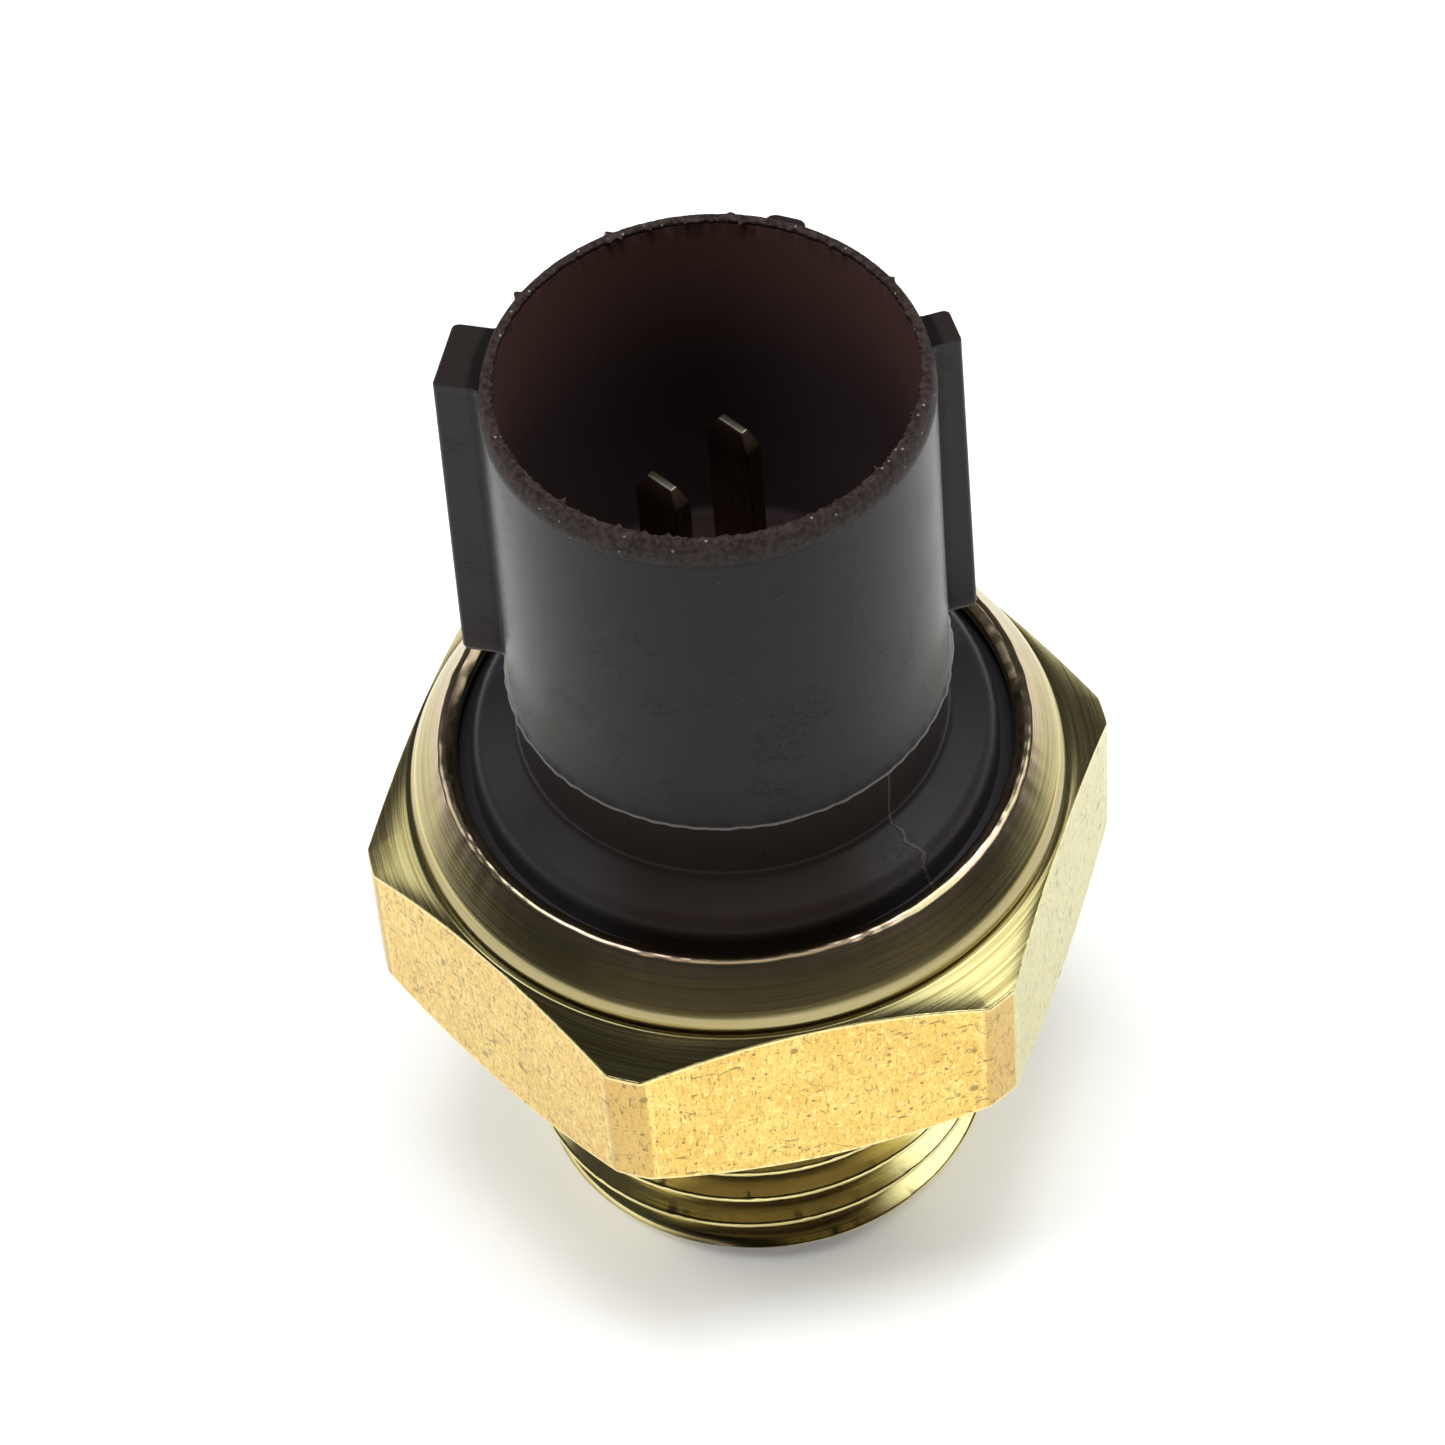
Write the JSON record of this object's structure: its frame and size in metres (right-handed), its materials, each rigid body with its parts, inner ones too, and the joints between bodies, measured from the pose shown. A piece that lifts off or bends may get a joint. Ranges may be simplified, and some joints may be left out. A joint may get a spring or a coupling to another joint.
{
  "type": "pressure switch",
  "caption": "Screw-in pressure switch: brass hexagon body with a threaded port stem, crimped over a keyed round plastic connector housing with two flat blade terminals.",
  "frame": {"origin": "centre of the port end of the threaded stem, on the switch's axis", "axes": "+Z along the switch's axis from the threaded port end to the connector's mouth; +X towards a corner of the hexagon"},
  "size_m": [0.0248, 0.022, 0.0362],
  "materials": {
    "body_brass": "turned and milled free-cutting brass, bright flats with fine scratches, darker turned collar",
    "terminal_brass": "stamped brass strip, dull, bright along the sheared edges",
    "brown_plastic": "dark brown glass-filled moulding, semi-gloss, matt rough rim",
    "guide_plastic": "natural moulded plastic",
    "pin_ceramic": "sintered off-white ceramic",
    "black_rubber": "moulded rubber, satin",
    "epoxy": "poured epoxy",
    "spring_steel": "stainless spring strip",
    "plated_steel": "zinc plated steel, satin",
    "spring_copper": "beryllium copper spring strip, satin",
    "contact_silver": "silver alloy contact",
    "plunger_brass": "turned brass",
    "film_amber": "amber polyimide film",
    "film_grey": "fluoropolymer coated film"
  },
  "bodies": {
    "switch_body": {"brass_body": "body_brass", "connector_housing": "brown_plastic", "terminal_common": "terminal_brass", "terminal_switched": "terminal_brass", "terminal_sealant": "epoxy", "housing_o_ring": "black_rubber", "thread_o_ring": "black_rubber", "diaphragm_o_ring": "black_rubber", "diaphragm_liner": "film_grey", "diaphragm": "film_amber", "disc_cup": "plated_steel", "disc_retainer": "plated_steel", "pin_guide": "guide_plastic", "fixed_contact": "contact_silver", "arm_rivet": "plated_steel"},
    "plunger": {"plunger": "plunger_brass"},
    "snap_disc": {"snap_disc": "spring_steel"},
    "push_pin": {"push_pin": "pin_ceramic"},
    "contact_arm": {"contact_arm": "spring_copper", "moving_contact": "contact_silver"}
  },
  "joints": [
    {"name": "plunger_slide", "type": "slide", "parent": "switch_body", "child": "plunger", "axis": [0, 0, 1], "range_m": [0, 0.0004], "stiffness_N_per_m": 2000, "deforming": ["diaphragm", "diaphragm_liner"]},
    {"name": "snap_disc_slide", "type": "slide", "parent": "switch_body", "child": "snap_disc", "axis": [0, 0, 1], "range_m": [0, 0.0004]},
    {"name": "push_pin_slide", "type": "slide", "parent": "switch_body", "child": "push_pin", "axis": [0, 0, 1], "range_m": [0, 0.0004]},
    {"name": "contact_arm_hinge", "type": "hinge", "parent": "switch_body", "child": "contact_arm", "pos_m": [-0.00379, -0.00251, 0.01752], "axis": [0.5519, -0.8339, 0], "range_deg": [0, 5.1]}
  ],
  "couplings": [
    {"joint": "snap_disc_slide", "follows": "plunger_slide", "ratio": 1},
    {"joint": "push_pin_slide", "follows": "plunger_slide", "ratio": 1},
    {"joint": "contact_arm_hinge", "follows": "plunger_slide", "rad_per_m": 219.78}
  ]
}
